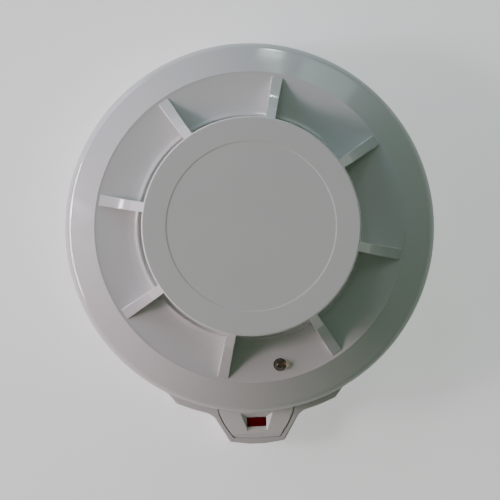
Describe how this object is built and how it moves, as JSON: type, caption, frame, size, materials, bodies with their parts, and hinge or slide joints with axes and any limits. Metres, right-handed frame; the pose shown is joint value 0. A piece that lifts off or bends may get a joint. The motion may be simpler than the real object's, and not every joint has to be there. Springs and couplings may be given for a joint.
{
  "type": "heat detector",
  "caption": "Round point heat detector: a low white bayonet head whose matt cap stands on radial vanes over a shallow annular trough, locked in a mounting base with an indicator tab.",
  "frame": {"origin": "centre of the base's flat back face, on the axis that the head twists about", "axes": "+Z out of the mounting surface through the cap, -Y towards the indicator tab, +X completes the right-handed frame"},
  "size_m": [0.1018, 0.1105, 0.048],
  "materials": {
    "white_gloss": "moulded white plastic, glossy",
    "white_matt": "moulded white plastic with a fine spark texture",
    "red_lens": "deep red tinted epoxy",
    "clear_lens": "water-clear epoxy",
    "board": "green solder resist",
    "steel": "stainless steel",
    "brass": "plain brass",
    "black_plastic": "black moulding compound",
    "glass_bead": "dark resin bead on tinned leads",
    "blue_coating": "dipped epoxy",
    "seal_foam": "closed-cell foam"
  },
  "bodies": {
    "base": {"mounting_base": "white_gloss", "tab_cover": "white_gloss", "indicator_led": "red_lens", "indicator_board": "board", "contact_spring_1": "steel", "contact_spring_2": "steel", "contact_spring_3": "steel", "contact_spring_4": "steel", "wire_clamp_1": "brass", "wire_clamp_2": "brass", "wire_clamp_3": "brass", "wire_clamp_4": "brass", "terminal_screw_1": "steel", "terminal_screw_2": "steel", "terminal_screw_3": "steel", "terminal_screw_4": "steel"},
    "head": {"back_plate": "white_gloss", "contact_blade_1": "steel", "contact_blade_2": "steel", "contact_blade_3": "steel", "contact_blade_4": "steel", "blade_rivet_1": "brass", "blade_rivet_2": "brass", "blade_rivet_3": "brass", "blade_rivet_4": "brass", "circuit_board": "board", "board_screw_1": "steel", "board_screw_2": "steel", "board_screw_3": "steel", "sensing_thermistor": "glass_bead", "thermistor_post": "white_matt", "reference_thermistor": "glass_bead", "control_chip": "black_plastic", "bridge_rectifier": "black_plastic", "smoothing_capacitor": "black_plastic", "surge_suppressor": "blue_coating", "status_led": "clear_lens", "led_spacer": "black_plastic"},
    "case": {"outer_case": "white_gloss", "top_cap": "white_matt", "sensor_guard": "white_gloss", "case_seal": "seal_foam"}
  },
  "joints": [
    {"name": "head_twist", "type": "hinge", "parent": "base", "child": "head", "pos_m": [0, 0, 0], "axis": [0, 0, 1], "range_deg": [0, 15]},
    {"name": "case_pull", "type": "slide", "parent": "head", "child": "case", "axis": [0, 0, 1], "range_m": [0, 0.03]}
  ]
}
